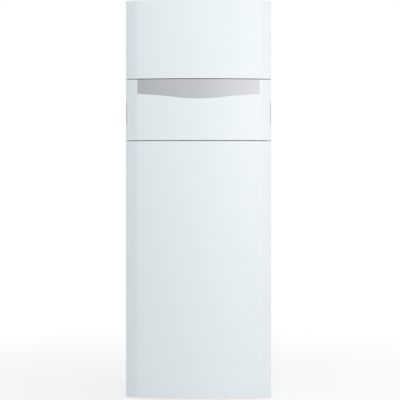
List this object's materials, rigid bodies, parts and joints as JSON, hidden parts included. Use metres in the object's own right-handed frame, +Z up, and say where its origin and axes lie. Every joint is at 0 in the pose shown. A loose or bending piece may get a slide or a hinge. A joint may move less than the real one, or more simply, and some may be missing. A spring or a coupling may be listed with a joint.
{
  "type": "floor standing gas boiler",
  "caption": "White column boiler with a bulged front, a hinged control flap with a silver band, removable panels, and pipe and flue connections on a rear ledge.",
  "frame": {"origin": "on the floor under the middle of the casing's box", "axes": "+Z up along the column, -Y towards the viewer in front, +X to the viewer's right"},
  "size_m": [0.599, 0.693, 1.64],
  "materials": {
    "white_enamel": "smooth white powder coat",
    "white_moulding": "white moulding matched to the panels",
    "silver_band": "brushed along its length",
    "grey_grip": "fine grained grey moulding",
    "galvanised": "galvanised sheet",
    "steel_parts": "machined and zinc plated steel",
    "black_plastic": "black moulding",
    "dark_control": "anthracite moulding",
    "key_cap": "light grey key caps",
    "display": "dark display pane",
    "board": "green circuit board",
    "rubber_foot": "black rubber",
    "copper_pipe": "copper tube",
    "brass_parts": "brass fittings",
    "gas_yellow": "yellow coated gas tube",
    "foam_jacket": "foam with a foil-like cover",
    "blue_enamel": "enamelled cylinder steel",
    "vessel_red": "red paint",
    "pump_iron": "painted pump iron",
    "aluminium_cast": "cast aluminium",
    "stainless": "stainless steel",
    "grey_plastic": "grey technical plastic",
    "white_ceramic": "white ceramic and steel",
    "red_plastic": "red moulding",
    "zinc_screw": "zinc plated",
    "flue_white": "white coated aluminium"
  },
  "bodies": {
    "cabinet": {"flap_hinge_pins": "steel_parts", "flap_catches": "black_plastic", "finger_grips": "grey_grip", "side_panel_left": "white_enamel", "side_panel_right": "white_enamel", "front_posts": "galvanised", "panel_clips": "steel_parts", "rear_panel": "galvanised", "case_screws": "zinc_screw", "top_cover": "white_enamel", "base_frame": "galvanised", "equipment_shelf": "galvanised", "hot_water_cylinder": "blue_enamel", "cylinder_jacket": "foam_jacket", "service_flange_cover": "steel_parts", "anode_rod": "steel_parts", "heating_flow_pipe": "copper_pipe", "heating_return_pipe": "copper_pipe", "hot_water_pipe": "copper_pipe", "cold_water_pipe": "copper_pipe", "gas_pipe": "gas_yellow", "heat_exchanger": "stainless", "exchanger_coil": "stainless", "burner_door": "aluminium_cast", "burner_tube": "stainless", "ignition_electrode": "white_ceramic", "condensate_sump": "black_plastic", "fan_housing": "aluminium_cast", "fan_motor": "black_plastic", "air_silencer": "grey_plastic", "gas_valve": "aluminium_cast", "expansion_vessel": "vessel_red", "plate_heat_exchanger": "stainless", "heating_pump": "pump_iron", "charging_pump": "pump_iron", "diverter_valve": "brass_parts", "relief_valve": "brass_parts", "condensate_siphon": "grey_plastic", "flue_adapter": "flue_white", "cable_glands": "grey_plastic", "electronics_box": "dark_control", "main_board": "board", "control_fascia": "dark_control", "display_module": "display"},
    "flap": {"control_flap": "white_moulding", "flap_trim": "silver_band", "flap_arms": "steel_parts"},
    "upper_front": {"upper_front_panel": "white_enamel"},
    "lower_front": {"lower_front_panel": "white_enamel"},
    "rocker": {"power_rocker": "black_plastic"},
    "impeller": {"fan_impeller": "aluminium_cast"},
    "relief_knob": {"relief_knob": "red_plastic"},
    "key_select_left": {"key_select_left": "key_cap"},
    "key_minus": {"key_minus": "key_cap"},
    "key_select_right": {"key_select_right": "key_cap"},
    "key_plus": {"key_plus": "key_cap"},
    "foot_front_left": {"foot_front_left": "rubber_foot"},
    "foot_front_right": {"foot_front_right": "rubber_foot"},
    "foot_rear_left": {"foot_rear_left": "rubber_foot"},
    "foot_rear_right": {"foot_rear_right": "rubber_foot"}
  },
  "joints": [
    {"name": "flap_hinge", "type": "hinge", "parent": "cabinet", "child": "flap", "pos_m": [0, -0.27, 0.972], "axis": [1, 0, 0], "range_deg": [0, 88]},
    {"name": "upper_front_slide", "type": "slide", "parent": "cabinet", "child": "upper_front", "axis": [0, -1, 0], "range_m": [0, 0.15]},
    {"name": "lower_front_slide", "type": "slide", "parent": "cabinet", "child": "lower_front", "axis": [0, 1, 0], "range_m": [-0.15, 0]},
    {"name": "key_select_left_press", "type": "slide", "parent": "cabinet", "child": "key_select_left", "axis": [0, 1, 0], "range_m": [0, 0.001], "stiffness_N_per_m": 400, "springref_m": -0.001},
    {"name": "key_minus_press", "type": "slide", "parent": "cabinet", "child": "key_minus", "axis": [0, 1, 0], "range_m": [0, 0.001], "stiffness_N_per_m": 400, "springref_m": -0.001},
    {"name": "key_select_right_press", "type": "slide", "parent": "cabinet", "child": "key_select_right", "axis": [0, 1, 0], "range_m": [0, 0.001], "stiffness_N_per_m": 400, "springref_m": -0.001},
    {"name": "key_plus_press", "type": "slide", "parent": "cabinet", "child": "key_plus", "axis": [0, 1, 0], "range_m": [0, 0.001], "stiffness_N_per_m": 400, "springref_m": -0.001},
    {"name": "rocker_tilt", "type": "hinge", "parent": "cabinet", "child": "rocker", "pos_m": [0.185, -0.287, 1.2], "axis": [1, 0, 0], "range_deg": [0, 14]},
    {"name": "impeller_spin", "type": "hinge", "parent": "cabinet", "child": "impeller", "pos_m": [-0.01, 0.02, 1.51], "axis": [0, 0, 1], "continuous": true},
    {"name": "relief_turn", "type": "hinge", "parent": "cabinet", "child": "relief_knob", "pos_m": [0.21, -0.113, 1.045], "axis": [0, -1, 0], "range_deg": [0, 90]},
    {"name": "foot_front_left_turn", "type": "hinge", "parent": "cabinet", "child": "foot_front_left", "pos_m": [-0.2545, -0.2294, 0.02], "axis": [0, 0, 1], "range_deg": [-180, 180]},
    {"name": "foot_front_right_turn", "type": "hinge", "parent": "cabinet", "child": "foot_front_right", "pos_m": [0.2545, -0.2294, 0.02], "axis": [0, 0, 1], "range_deg": [-180, 180]},
    {"name": "foot_rear_left_turn", "type": "hinge", "parent": "cabinet", "child": "foot_rear_left", "pos_m": [-0.2545, 0.295, 0.02], "axis": [0, 0, 1], "range_deg": [-180, 180]},
    {"name": "foot_rear_right_turn", "type": "hinge", "parent": "cabinet", "child": "foot_rear_right", "pos_m": [0.2545, 0.295, 0.02], "axis": [0, 0, 1], "range_deg": [-180, 180]}
  ]
}
